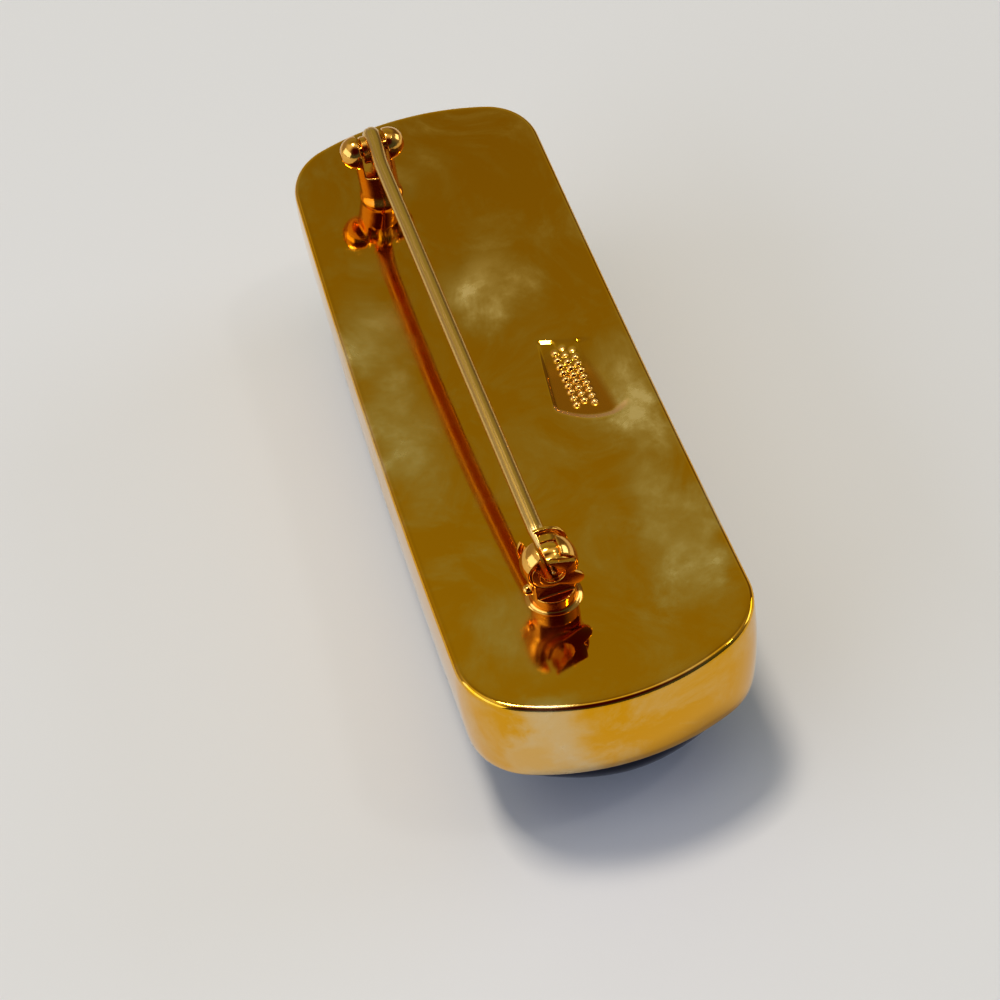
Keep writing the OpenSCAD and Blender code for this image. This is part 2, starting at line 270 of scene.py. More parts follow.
@dataclass(frozen=True)
class PolishedGilding(Finish):
    """Gilding on a cast alloy case, polished by hand on a mop.

    To the eye it is a mirror of deep yellow metal. It has cloudy patches where the gilding has dulled, a
    faint waviness from the hand polish, and hair scratches from wearing it. A pale patch on the near end's
    wall is a painted highlight, and the pellets' pale tops are partly rubbed gilding and partly a painted
    highlight.
    """

    name: str = "polished_gilding"
    bright: str = "#E7A81C"
    bright_roughness: float = 0.04
    # The dull colour also paints the pale highlight on the near end's wall.
    dull: str = "#E7CB99"
    dull_roughness: float = 0.3
    field: str = "#C4892F"
    field_roughness: float = 0.22
    field_edge: Pair = (0.5, 0.95)
    # This pale colour marks the field's rubbed slopes, and on the pellets it is partly rubbing and partly a
    # painted highlight.
    wear_and_sheen: str = "#EBC090"
    wear_and_sheen_roughness: float = 0.42
    patches: tuple[DullAndSheenPatch, ...] = DULL_AND_SHEEN_PATCHES
    patch_edge: Pair = (0.35, 1.15)
    stray_grain: float = 4.5
    stray: float = 3.0
    mottle_limits: Pair = (0.35, 0.65)
    mottle_shares: Pair = (0.55, 1.15)
    cloud_grain: float = 7.0
    cloud_limits: Pair = (0.44, 0.72)
    cloud_share: float = 0.6
    waves: Relief = Relief(grain=3.2, depth=0.1, strength=0.05, detail=2.0)
    scratches: Relief = Relief(grain=0.12, depth=0.01, strength=0.04, detail=2.0)
    scratch_stretch: Triple = (1.0, 14.0, 6.0)
    scratch_turn: float = 0.5

    def dullness_and_sheen(self, tree: Tree, place: Socket) -> Socket:
        """Lays the dull patches over the case, with ragged edges and faint clouds between them. The patch at
        the near end's wall is a painted highlight, not dulled gilding.

        Args:
            tree: the material's node tree.
            place: the point on the case, in metres.

        Returns:
            The share of dull and painted-sheen cover, from 0 to 1.
        """
        noise = add_node(tree, "ShaderNodeTexNoise", {
            "Vector": place, "Scale": 1 / (self.stray_grain * MM), "Detail": 5.0, "Roughness": 0.6})
        reach = self.stray * MM
        pushed = add_node(tree, "ShaderNodeVectorMath", {
            0: noise.outputs["Color"], 1: (2 * reach,) * 3, 2: (-reach,) * 3}, operation="MULTIPLY_ADD")
        ragged = add_node(tree, "ShaderNodeVectorMath", {0: place, 1: pushed.outputs[0]}, operation="ADD")
        share: Socket | float = 0.0
        for patch in self.patches:
            away = add_node(tree, "ShaderNodeVectorMath", {
                0: ragged.outputs[0], 1: (patch.x * MM, patch.y * MM, 0.0)}, operation="SUBTRACT")
            scaled = add_node(tree, "ShaderNodeVectorMath", {
                0: away.outputs[0], 1: (1 / (patch.long * MM), 1 / (patch.wide * MM), 0.0)},
                operation="MULTIPLY")
            out = add_node(tree, "ShaderNodeVectorMath", {0: scaled.outputs[0]}, operation="LENGTH")
            spot = add_node(tree, "ShaderNodeMapRange", {
                "Value": out.outputs["Value"], "From Min": self.patch_edge[0], "From Max": self.patch_edge[1],
                "To Min": patch.strength, "To Max": 0.0}, interpolation_type="SMOOTHSTEP")
            share = add_node(tree, "ShaderNodeMath", {0: share, 1: spot.outputs["Result"]},
                             operation="MAXIMUM").outputs[0]
        clouds = add_node(tree, "ShaderNodeTexNoise", {
            "Vector": place, "Scale": 1 / (self.cloud_grain * MM), "Detail": 6.0, "Roughness": 0.68,
            "Distortion": 0.8})
        faint = add_node(tree, "ShaderNodeMapRange", {
            "Value": clouds.outputs["Fac"], "From Min": self.cloud_limits[0],
            "From Max": self.cloud_limits[1], "To Max": self.cloud_share})
        mottle = add_node(tree, "ShaderNodeMapRange", {
            "Value": noise.outputs["Fac"], "From Min": self.mottle_limits[0],
            "From Max": self.mottle_limits[1], "To Min": self.mottle_shares[0],
            "To Max": self.mottle_shares[1]})
        both = add_node(tree, "ShaderNodeMath", {0: share, 1: faint.outputs["Result"]}, operation="ADD")
        return add_node(tree, "ShaderNodeMath", {0: both.outputs[0], 1: mottle.outputs["Result"]},
                        operation="MULTIPLY", use_clamp=True).outputs[0]

    def shader(self, tree: Tree) -> bpy.types.Node:
        """Lays the dull patches, with the pale sheen painted on the near end's wall, and the stamped field
        with its rubbed edges and pellets, the pellets partly a painted highlight, over the bright gilding.

        Args:
            tree: the material's node tree.

        Returns:
            The shader.
        """
        place = add_node(tree, "ShaderNodeTexCoord").outputs["Object"]
        sunk = add_node(tree, "ShaderNodeAttribute", attribute_name="stamped").outputs["Fac"]
        floor = add_node(tree, "ShaderNodeMapRange", {
            "Value": sunk, "From Min": self.field_edge[0], "From Max": self.field_edge[1]})
        # The pale share of rubbed slopes and pellets, the pellets partly a painted highlight.
        wear_and_sheen_node = add_node(tree, "ShaderNodeAttribute", attribute_name="wear_and_sheen")
        colour: Any = linear(self.bright)
        rough: Any = self.bright_roughness
        for share, paint, grit in (
                (self.dullness_and_sheen(tree, place), self.dull, self.dull_roughness),
                (floor.outputs["Result"], self.field, self.field_roughness),
                (wear_and_sheen_node.outputs["Fac"], self.wear_and_sheen, self.wear_and_sheen_roughness)):
            colour = add_node(tree, "ShaderNodeMix", {"Factor": share, "A": colour, "B": linear(paint)},
                              data_type="RGBA").outputs[2]
            rough = add_node(tree, "ShaderNodeMix", {"Factor": share, "A": rough, "B": grit}).outputs[0]
        wavy = self.waves.lay(tree, place)[1]
        stretched = add_node(tree, "ShaderNodeMapping", {
            "Vector": place, "Rotation": (0.0, 0.0, self.scratch_turn), "Scale": self.scratch_stretch})
        scratched = self.scratches.lay(
            tree, stretched.outputs["Vector"], self.scratch_stretch[1] * MM, Normal=wavy)[1]
        return add_node(tree, "ShaderNodeBsdfPrincipled", {
            "Base Color": colour, "Metallic": 1.0, "Roughness": rough, "Normal": scratched})


@dataclass(frozen=True)
class DrawnWire(Finish):
    """Hard brass wire drawn through a die, with a pale flash of gilding.

    To the eye it is a satin, champagne-coloured metal with fine lines along its length.
    """

    name: str = "drawn_gilt_wire"
    colour: str = "#E0B670"
    roughness: Pair = (0.18, 0.32)
    line_width: float = 0.05
    line_length: float = 4.0
    lines: Relief = Relief(grain=1.0, depth=0.01, strength=0.25, detail=3.0)

    def shader(self, tree: Tree) -> bpy.types.Node:
        """Draws the lines along the wire.

        Args:
            tree: the material's node tree.

        Returns:
            The shader.
        """
        # The map is in millimetres along the wire and round it. Stretched, a line is 1 long and 1 wide.
        on_wire = add_node(tree, "ShaderNodeUVMap", uv_map=WIRE_MAP).outputs["UV"]
        stretched = add_node(tree, "ShaderNodeMapping", {
            "Vector": on_wire, "Scale": (1 / self.line_length, 1 / self.line_width, 1.0)})
        lines, normal = self.lines.lay(tree, stretched.outputs["Vector"], 1.0)
        rough = add_node(tree, "ShaderNodeMapRange", {
            "Value": lines, "To Min": self.roughness[0], "To Max": self.roughness[1]})
        return add_node(tree, "ShaderNodeBsdfPrincipled", {
            "Base Color": linear(self.colour), "Metallic": 1.0, "Roughness": rough.outputs["Result"],
            "Normal": normal})


@dataclass(frozen=True)
class CastResin(Finish):
    """Polyester resin cast in a mould and polished, tinted a deep navy.

    To the eye it is near black with a hard gloss, and blue where light gets through its edge.
    """

    name: str = "cast_navy_resin"
    deep: str = "#060A22"
    edge: str = "#0C1440"
    roughness: float = 0.12
    swirl_grain: float = 6.0
    swirl_limits: Pair = (0.4, 0.75)
    swirl_share: float = 0.35

    def shader(self, tree: Tree) -> bpy.types.Node:
        """Swirls the two blues into each other.

        Args:
            tree: the material's node tree.

        Returns:
            The shader.
        """
        place = add_node(tree, "ShaderNodeTexCoord").outputs["Object"]
        swirl = add_node(tree, "ShaderNodeTexNoise", {
            "Vector": place, "Scale": 1 / (self.swirl_grain * MM), "Detail": 4.0, "Distortion": 1.5})
        share = add_node(tree, "ShaderNodeMapRange", {
            "Value": swirl.outputs["Fac"], "From Min": self.swirl_limits[0],
            "From Max": self.swirl_limits[1], "To Max": self.swirl_share})
        colour = add_node(tree, "ShaderNodeMix", {
            "Factor": share.outputs["Result"], "A": linear(self.deep), "B": linear(self.edge)},
            data_type="RGBA")
        return add_node(tree, "ShaderNodeBsdfPrincipled", {
            "Base Color": colour.outputs[2], "Roughness": self.roughness, "IOR": 1.5,
            "Specular IOR Level": 0.15})


# ---- mesh helpers ----


def mesh_piece(name: str, skin: Skin, sharp_degrees: float = 180.0) -> Piece:
    """Makes a smooth-shaded mesh object from a skin in millimetres.

    Args:
        name: the piece's name.
        skin: rows of x, y and z, and the point numbers of each face, anticlockwise from outside.
        sharp_degrees: edges that turn by more than this stay crisp.

    Returns:
        The new object, linked to the scene.
    """
    points, faces = skin
    mesh = bpy.data.meshes.new(name)
    mesh.from_pydata((np.asarray(points, float) * MM).tolist(), [], [list(f) for f in faces])
    mesh.validate()
    mesh.shade_smooth()
    if sharp_degrees < 180.0:
        mesh.set_sharp_from_angle(angle=math.radians(sharp_degrees))
    piece = bpy.data.objects.new(name, mesh)
    bpy.context.scene.collection.objects.link(piece)
    return piece


def loft(rings: Sequence[np.ndarray], start: Sequence[float] | None = None,
         end: Sequence[float] | None = None) -> Skin:
    """Skins a list of closed rings of equal count.

    Args:
        rings: arrays of x, y and z, each one ring.
        start: a point that closes the first ring, or None to leave it open.
        end: a point that closes the last ring, or None to leave it open.

    Returns:
        The points and the faces.
    """
    count = len(rings[0])
    points = [np.asarray(r, float) for r in rings]
    faces: list[list[int]] = []
    for base in range(0, (len(rings) - 1) * count, count):
        for i in range(count):
            a, b = base + i, base + (i + 1) % count
            faces.append([a, b, b + count, a + count])
    total = len(rings) * count
    for tip, base, first, second in ((start, 0, 1, 0), (end, total - count, 0, 1)):
        if tip is not None:
            points.append(np.array([tip], float))
            faces += [[total, base + (i + first) % count, base + (i + second) % count]
                      for i in range(count)]
            total += 1
    return np.vstack(points), faces


def circle(count: int) -> np.ndarray:
    """Directions of a full turn, in radians, without the last, which is the first again."""
    return np.linspace(0, FULL_TURN, count, endpoint=False)


def lathe(profile: Sequence[Pair], segments: int = 96) -> Skin:
    """Turns a profile about the Z axis.

    Args:
        profile: radius and height pairs from the bottom up, with a radius of 0 at either closed end.
        segments: points in each ring.

    Returns:
        The points and the faces.
    """
    turn = circle(segments)
    rings = [np.column_stack([r * np.cos(turn), r * np.sin(turn), np.full(segments, z)])
             for r, z in profile if r > 0]
    start, end = ((0, 0, z) if r == 0 else None for r, z in (profile[0], profile[-1]))
    return loft(rings, start, end)


def ball(radius: float, middle: Triple = (0.0, 0.0, 0.0), rows: int = 49) -> Skin:
    """Turns a ball.

    Args:
        radius: its radius.
        middle: its middle.
        rows: heights at which it is cut, with its two poles.

    Returns:
        The points and the faces.
    """
    turns = np.radians(np.linspace(-90, 90, rows))[1:-1]
    points, faces = lathe([(0.0, -radius), *((radius * math.cos(t), radius * math.sin(t)) for t in turns),
                           (0.0, radius)])
    return points + np.array(middle), faces


def block(low: Sequence[float], high: Sequence[float]) -> Skin:
    """Makes a square block.

    Args:
        low: its lowest corner.
        high: its highest corner.

    Returns:
        The points and the faces.
    """
    points = [[x, y, z] for z in (low[2], high[2]) for y in (low[1], high[1]) for x in (low[0], high[0])]
    return np.array(points), [[0, 2, 3, 1], [4, 5, 7, 6], [0, 1, 5, 4], [2, 6, 7, 3], [0, 4, 6, 2],
                              [1, 3, 7, 5]]


def moved(skin: Skin, place: Matrix) -> Skin:
    """Moves a skin to its place.

    Args:
        skin: points and faces.
        place: a 4 by 4 matrix.

    Returns:
        The moved points and the same faces.
    """
    points, faces = skin
    matrix = np.array(place)
    return points @ matrix[:3, :3].T + matrix[:3, 3], faces


def apply_modifier(piece: Piece, kind: str, **settings: Any) -> None:
    """Adds a modifier to a piece and applies it at once.

    Args:
        piece: the mesh object.
        kind: the modifier's type name.
        settings: the modifier's own properties.
    """
    modifier = piece.modifiers.new(kind.lower(), kind)
    for name, value in settings.items():
        setattr(modifier, name, value)
    graph = bpy.context.evaluated_depsgraph_get()
    finished = bpy.data.meshes.new_from_object(piece.evaluated_get(graph))
    piece.modifiers.clear()
    old, piece.data = piece.data, finished
    bpy.data.meshes.remove(old)


def smoothstep(low: float, high: float, value: np.ndarray) -> np.ndarray:
    """Eases from 0 to 1 between two values.

    Args:
        low: where the result leaves 0.
        high: where the result reaches 1.
        value: the values to ease.

    Returns:
        The eased values.
    """
    t = np.clip((value - low) / (high - low), 0, 1)
    return t * t * (3 - 2 * t)


def hull_reach(points: np.ndarray, turn: np.ndarray, ways: int = 720, grazing: float = 0.02) -> np.ndarray:
    """Distance from the origin to the edge of the convex hull of points that stand about it.

    Args:
        points: rows of two coordinates.
        turn: directions in radians.
        ways: directions that the hull's edges can face.
        grazing: cosine below which an edge is too nearly in line with the direction to count.

    Returns:
        The distance in each direction.
    """
    facing = circle(ways)
    support = (points @ np.stack([np.cos(facing), np.sin(facing)])).max(axis=0)
    cosine = np.cos(np.asarray(turn)[:, None] - facing[None, :])
    return np.where(cosine > grazing, support / np.maximum(cosine, grazing), np.inf).min(axis=1)


# ---- the case's form, shared by the case and the stone ----


@dataclass(frozen=True)
class BarForm:
    """The named sizes of the bar in millimetres and degrees, the same as in the part's source."""

    half_length: float = 27.0
    half_width: float = 9.4
    wall_height: float = 7.2
    side_bow: float = 0.35
    end_bow: float = 3.1
    corner_radius: float = 4.7
    arch_rise: float = 2.3
    dish_rise: float = 0.8
    wall_swell: float = 0.15
    edge_round: float = 0.45
    wall_thickness: float = 0.6
    plate_thickness: float = 0.8
    stone_drop: float = 0.6
    stone_shoulder: float = 3.2
    stone_brow: float = 75.0
    stone_crown: float = 1.1
    stone_inset: float = 0.45
    stone_tuck: float = 4.5
    stone_gap: float = 0.06
    # Only for the outline's points: the fewest steps of an arc, and how far the long sides crowd theirs.
    least_steps: int = 3
    side_crowding: float = 0.5 / math.pi

    @property
    def stone_depth(self) -> float:
        """How far the stone reaches below the rim's middle."""
        shoulder = self.stone_shoulder * math.sin(math.radians(self.stone_brow))
        return self.stone_drop + shoulder + self.stone_crown

    @property
    def back_z(self) -> float:
        """Height of the back plate's middle above the floor."""
        return self.wall_height + self.stone_depth

    def arch(self, x: np.ndarray | float) -> np.ndarray | float:
        """Rise of the bar towards its ends."""
        return self.arch_rise * (x / self.half_length) ** 2

    def back_at(self, x: np.ndarray | float, y: np.ndarray | float) -> np.ndarray | float:
        """Height of the back plate over a point of the bar."""
        return self.back_z + self.arch(x) + self.dish_rise * (y / self.half_width) ** 2

    def outline(self, spacing: float) -> np.ndarray:
        """Walks round the outline, which is made of arcs, closer at the middle of the long sides.

        Args:
            spacing: mean distance between points in millimetres.

        Returns:
            Rows of arc centre x, arc centre y, radius and direction in radians.
        """
        side_radius = (self.half_length ** 2 + self.side_bow ** 2) / (2 * self.side_bow)
        end_radius = (self.half_width ** 2 + self.end_bow ** 2) / (2 * self.end_bow)
        side = np.array([0.0, self.half_width - side_radius])
        end = np.array([self.half_length - end_radius, 0.0])
        gap = float(np.linalg.norm(end - side))
        to_end = (end - side) / gap
        reach_side, reach_end = side_radius - self.corner_radius, end_radius - self.corner_radius
        along = (reach_side ** 2 - reach_end ** 2 + gap ** 2) / (2 * gap)
        aside = math.sqrt(reach_side ** 2 - along ** 2)
        corner = side + along * to_end + aside * np.array([to_end[1], -to_end[0]])
        turn_side = math.atan2(*(corner - side)[::-1])
        turn_end = math.atan2(*(corner - end)[::-1])
        quarter: list[list[float]] = []
        for centre, radius, first, last, crowding in (
                (end, end_radius, 0.0, turn_end, 0.0),
                (corner, self.corner_radius, turn_end, turn_side, 0.0),
                (side, side_radius, turn_side, QUARTER_TURN, self.side_crowding)):
            steps = max(self.least_steps, round(radius * abs(last - first) / spacing))
            for i in range(steps):
                share = i / steps + crowding * math.sin(math.pi * i / steps)
                quarter.append([centre[0], centre[1], radius, first + (last - first) * share])
        quarter.append([side[0], side[1], side_radius, QUARTER_TURN])
        far = np.array(quarter)
        near = far[-2::-1] * [-1, 1, 1, -1] + [0, 0, 0, math.pi]
        half = np.vstack([far, near])
        return np.vstack([half, half[-2:0:-1] * [1, -1, 1, -1]])

    def ring_xy(self, outline: np.ndarray, inset: float, shrink: float = 1.0) -> np.ndarray:
        """One ring seen from above.

        Args:
            outline: rows from outline().
            inset: how far the ring stands in from the outline.
            shrink: scale of the ring about the middle of the bar.

        Returns:
            Rows of x and y.
        """
        x, y, radius, turn = outline.T
        return shrink * np.column_stack([x + (radius - inset) * np.cos(turn),
                                         y + (radius - inset) * np.sin(turn)])

    def rim_ring(self, outline: np.ndarray, inset: float, drop: float) -> np.ndarray:
        """A ring that follows the case's rim at a drop below it, as rows of x, y and z."""
        xy = self.ring_xy(outline, inset)
        return np.column_stack([xy, self.stone_depth + self.arch(xy[:, 0]) - drop])

    def back_ring(self, outline: np.ndarray, inset: float, drop: float, shrink: float = 1.0) -> np.ndarray:
        """A ring that follows the back plate at a drop below it, as rows of x, y and z."""
        xy = self.ring_xy(outline, inset, shrink)
        return np.column_stack([xy, self.back_at(xy[:, 0], xy[:, 1]) - drop])

    def stone_ring(self, outline: np.ndarray, inset: float, drop: float) -> np.ndarray:
        """A ring of the stone below the rim, drawn in lengthwise towards its corners.

        Args:
            outline: rows from outline().
            inset: how far the ring stands in from the outline.
            drop: how far the ring lies below the rim.

        Returns:
            Rows of x, y and z.
        """
        x, y, z = self.rim_ring(outline, inset, drop).T
        towards_corner = (y / self.half_width) ** 2 * (x / self.half_length) ** 4
        tuck = self.stone_tuck * drop / self.stone_depth * towards_corner
        return np.column_stack([x - np.sign(x) * tuck, y, z])


# ---- sub-assemblies ----


class SubAssembly:
    """What the sub-assemblies share: a body that they ride on, a material slot and a CAD node."""

    body: Body
    slot: Slot
    node: str

    def dress(self, piece: Piece, finish: bpy.types.Material) -> None:
        """Gives a piece its material and its place on the frame, and reports it.

        Args:
            piece: the mesh object.
            finish: the material.
        """
        piece.data.materials.clear()
        piece.data.materials.append(finish)
        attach(piece, self.body.value)
        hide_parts(self.node)
        triangles = sum(len(f.vertices) - 2 for f in piece.data.polygons)
        log.info("%s: %d triangles, %s, on %s", piece.name, triangles, finish.name, self.body.value)


@dataclass
class GiltCase(SubAssembly):
    """The pressed and cast case: back plate with its stamped field, side wall and rim."""

    body, slot, node = Body.BROOCH, Slot.CASE, "case"

    form: BarForm
    outline_step: float = 0.24
    lip_inside: float = 0.12
    lip_round: float = 0.2
    lip_rows: int = 6
    wall_rows: int = 12
    wall_start: float = 0.04
    edge_start: float = 8.0
    edge_rows: int = 10
    # From where to where the rings of the plate shrink, and in how many. They stand closest on the field.
    plate_bands: tuple[tuple[float, float, int], ...] = ((1.0, 0.85, 12), (0.85, 0.25, 92), (0.25, 0.0, 9))
    plaque_x: float = -0.5
    plaque_y: float = -5.0
    plaque_length: float = 6.6
    plaque_head: float = 3.4
    plaque_foot: float = 4.7
    plaque_bow: float = 0.9
    plaque_slant: float = 20.0
    plaque_depth: float = 0.22
    # Widths over which the head, the foot and the two flanks fall. Each fall starts outside its side, by a
    # quarter of its width less the first lead, and at least by the second.
    plaque_softness: tuple[float, float, float, float] = (0.35, 0.6, 0.3, 1.3)
    plaque_lead: Pair = (0.02, 0.05)
    # Share of the depth that the head has in the middle and at its corners, and where it goes from one
    # to the other. From there the field deepens towards its foot.
    head_shares: Pair = (0.1, 0.46)
    head_middle: Pair = (0.5, 0.9)
    head_aside: float = 0.1
    head_run: float = 0.2
    pellet_rows: int = 9
    pellet_pitch: float = 0.6
    pellet_aside: float = 0.58
    pellet_lean: float = 0.24
    pellets_ahead: float = 0.15
    pellets_left: float = 0.22
    pellet_radius: float = 0.33
    pellet_flat: float = 0.3
    pellet_height: float = 0.17
    pellet_lead: float = 0.2
    wear_gain: float = 6.0
    wear_reach: Pair = (0.45, 0.75)
    # The pellets' tops are pale partly from rubbing and partly as a painted highlight.
    pellet_wear_and_sheen: float = 0.55

    def plaque_sides(self, x: np.ndarray, y: np.ndarray) -> tuple[np.ndarray, ...]:
        """How far each point stands inside the four sides of the stamped field.

        Args:
            x: distances along the bar in millimetres.
            y: distances across the bar in millimetres.

        Returns:
            Distances from the head, the foot and the two flanks, negative outside.
        """
        u, v = x - self.plaque_x, y - self.plaque_y
        slant = math.radians(self.plaque_slant)
        lean = u - v * math.tan(slant)
        share = np.clip(0.5 - lean / self.plaque_length, 0, 1)
        half = (self.plaque_head + (self.plaque_foot - self.plaque_head) * share) / 2
        bow = self.plaque_bow * (1 - np.clip(v / (self.plaque_foot / 2), -1, 1) ** 2)
        head = (self.plaque_length / 2 - lean) * math.cos(slant)
        return head, lean + self.plaque_length / 2 + bow, half - v, half + v

    def stamped_depth(self, x: np.ndarray, y: np.ndarray) -> np.ndarray:
        """How far the stamped field lies below the plate at each point.

        Args:
            x: distances along the bar in millimetres.
            y: distances across the bar in millimetres.

        Returns:
            Depths in millimetres, 0 outside the field.
        """
        sides = self.plaque_sides(x, y)
        middle, corners = self.head_shares
        from_middle = smoothstep(*self.head_middle, np.abs(y - self.plaque_y + self.head_aside))
        start = middle + (corners - middle) * from_middle
        run = smoothstep(self.head_run, self.plaque_head, sides[0])
        depth = self.plaque_depth * (start + (1 - start) * run)
        for inside, soft in zip(sides, self.plaque_softness):
            outer = min(-self.plaque_lead[1], self.plaque_lead[0] - soft / 4)
            depth = depth * smoothstep(outer, soft, inside)
        full = np.minimum(depth / self.plaque_depth + self.pellet_lead, 1)
        return depth - self.pellet_height * self.pellet_rise(x, y) * full

    def pellet_rise(self, x: np.ndarray, y: np.ndarray) -> np.ndarray:
        """How much of a pellet's height each point has.

        Args:
            x: distances along the bar in millimetres.
            y: distances across the bar in millimetres.

        Returns:
            Shares from 0 between the pellets to 1 on their tops.
        """
        u, v = x - self.plaque_x, y - self.plaque_y
        share = np.zeros_like(x)
        for row in range(self.pellet_rows):
            for aside in (-1, 0, 1):
                steps = (self.pellet_rows - 1) / 2 - row - 0.5 * (aside % 2)
                cu = steps * self.pellet_pitch + self.pellets_ahead
                cv = aside * self.pellet_aside + self.pellets_left
                away = np.hypot(u - cu - self.pellet_lean * cv, v - cv)
                edge = smoothstep(self.pellet_radius * self.pellet_flat, self.pellet_radius, away)
                share = np.maximum(share, 1 - edge)
        return share

    def rings(self) -> list[np.ndarray]:
        """Cuts the case's skin into rings.

        Returns:
            Rings from the inside of the plate down to the rim, up the wall and in over the plate.
        """
        form = self.form
        outline = form.outline(self.outline_step)
        rings = [form.back_ring(outline, form.wall_thickness, form.plate_thickness, shrink=0.5),
                 form.back_ring(outline, form.wall_thickness, form.plate_thickness),
                 form.rim_ring(outline, form.wall_thickness, -self.lip_inside)]
        for turn in np.radians(np.linspace(-90, 0, self.lip_rows)):
            rings.append(form.rim_ring(outline, self.lip_round * (1 - math.cos(turn)),
                                       -self.lip_round * (1 + math.sin(turn))))
        for part in np.linspace(self.wall_start, 1.0, self.wall_rows):
            xy = form.ring_xy(outline, -4 * form.wall_swell * part * (1 - part))
            low = form.stone_depth + form.arch(xy[:, 0])
            top = form.back_at(xy[:, 0], xy[:, 1]) - form.edge_round
            rings.append(np.column_stack([xy, low + (top - low) * part]))
        for turn in np.radians(np.linspace(self.edge_start, 90, self.edge_rows)):
            rings.append(form.back_ring(outline, form.edge_round * (1 - math.cos(turn)),
                                        form.edge_round * (1 - math.sin(turn))))
        for shrink in np.concatenate([np.linspace(*band)[1:] for band in self.plate_bands])[:-1]:
            ring = form.back_ring(outline, form.edge_round, 0.0, shrink)
            ring[:, 2] -= self.stamped_depth(ring[:, 0], ring[:, 1])
            rings.append(ring)
        return rings

    def build(self) -> Piece:
        """Builds the case as one smooth skin, with the field's depth, and its pale share of rubbed gilding
        and painted highlight, as values at its points.

        Returns:
            The finished piece.
        """
        form = self.form
        skin = loft(self.rings(), (0, 0, form.back_z - form.plate_thickness), (0, 0, form.back_z))
        piece = mesh_piece("gilt_case_shell", skin)
        x, y, z = skin[0].T
        # Only the plate's outer face has the field, and no point of it lies deeper than this.
        on_back = np.abs(z - form.back_at(x, y)) < 1.5 * self.plaque_depth
        sunk = np.where(on_back, self.stamped_depth(x, y) / self.plaque_depth, 0.0)
        foot = self.plaque_sides(x, y)[1]
        wear_and_sheen = np.clip(self.wear_gain * sunk * (1 - sunk), 0, 1)
        wear_and_sheen *= 1 - smoothstep(*self.wear_reach, foot)
        # The pellets' pale tops are partly rubbing and partly a painted highlight.
        wear_and_sheen = np.where(on_back, np.maximum(wear_and_sheen, self.pellet_wear_and_sheen * self.pellet_rise(x, y)), 0.0)
        for name, values in (("stamped", sunk), ("wear_and_sheen", wear_and_sheen)):
            layer = piece.data.attributes.new(name, "FLOAT", "POINT")
            layer.data.foreach_set("value", values.astype(np.float32))
        return piece


@dataclass
class DomedFront(SubAssembly):
    """The resin front that fills the case and stands below its rim."""

    body, slot, node = Body.BROOCH, Slot.FRONT, "stone"

    form: BarForm
    outline_step: float = 0.4
    shoulder_rows: int = 14
    crown_rows: int = 26
    crown_power: float = 2.6
    crisp_from: float = 50.0

    def build(self) -> Piece:
        """Builds the dome, its straight band and its hidden top.

        Returns:
            The finished piece.
        """
        form = self.form
        outline = form.outline(self.outline_step)
        edge = form.stone_inset + form.stone_shoulder * (1 - math.cos(math.radians(form.stone_brow)))
        brow = form.stone_ring(outline, edge, form.stone_depth - form.stone_crown)
        rings = []
        for share in np.linspace(0, 1, self.crown_rows, endpoint=False)[1:]:
            x, y = brow[:, 0] * share, brow[:, 1] * share
            z = form.arch(x) + form.stone_crown * share ** self.crown_power
            rings.append(np.column_stack([x, y, z]))
        for turn in np.radians(np.linspace(form.stone_brow, 0, self.shoulder_rows)):
            rings.append(form.stone_ring(
                outline, form.stone_inset + form.stone_shoulder * (1 - math.cos(turn)),
                form.stone_drop + form.stone_shoulder * math.sin(turn)))
        seat = form.wall_thickness + form.stone_gap
        hidden = form.plate_thickness + form.stone_gap
        rings += [form.rim_ring(outline, form.stone_inset, form.stone_gap),
                  form.rim_ring(outline, seat, form.stone_gap),
                  form.back_ring(outline, seat, hidden),
                  form.back_ring(outline, seat, hidden, shrink=0.5)]
        skin = loft(rings, (0, 0, 0), (0, 0, form.back_z - form.plate_thickness - form.stone_gap))
        return mesh_piece("domed_resin_front", skin, self.crisp_from)


@dataclass(frozen=True)
class PinLine:
    """Where the pin, its hinge and its catch stand on the bar, in millimetres and degrees."""

    form: BarForm
    hinge_x: float = 20.5
    hinge_y: float = 3.1
    rivet_height: float = 4.25
    span: float = 38.3
    skew: float = 1.7
    fall: float = 3.1
    stem_lift: float = 0.94

    @property
    def at_rivet(self) -> Matrix:
        """Places what is drawn about the rivet.

        Returns:
            The rivet's place, with -X towards the catch.
        """
        z = float(self.form.back_at(self.hinge_x, self.hinge_y)) + self.rivet_height
        turn = Matrix.Rotation(math.radians(self.skew), 4, "Z")
        return Matrix.Translation((self.hinge_x, self.hinge_y, z)) @ turn

    @property
    def at_pin(self) -> Matrix:
        """The closed pin's place, with -X along its stem."""
        return self.at_rivet @ Matrix.Rotation(math.radians(-self.fall), 4, "Y")

    @property
    def at_catch(self) -> Matrix:
        """Places what is drawn about the lock, which lies on the closed pin's line.

        Returns:
            The middle of the turning lock, with -X towards the near end of the bar.
        """
        skew, fall = math.radians(self.skew), math.radians(self.fall)
        x = self.hinge_x - self.span * math.cos(skew)
        y = self.hinge_y - self.span * math.sin(skew)
        z = self.at_rivet.translation.z + self.stem_lift / math.cos(fall) - self.span * math.tan(fall)
        return Matrix.Translation((x, y, z)) @ Matrix.Rotation(skew, 4, "Z")

    @property
    def catch_height(self) -> float:
        """Height of the lock's middle above the back plate."""
        place = self.at_catch.translation
        return place.z - float(self.form.back_at(place.x, place.y))


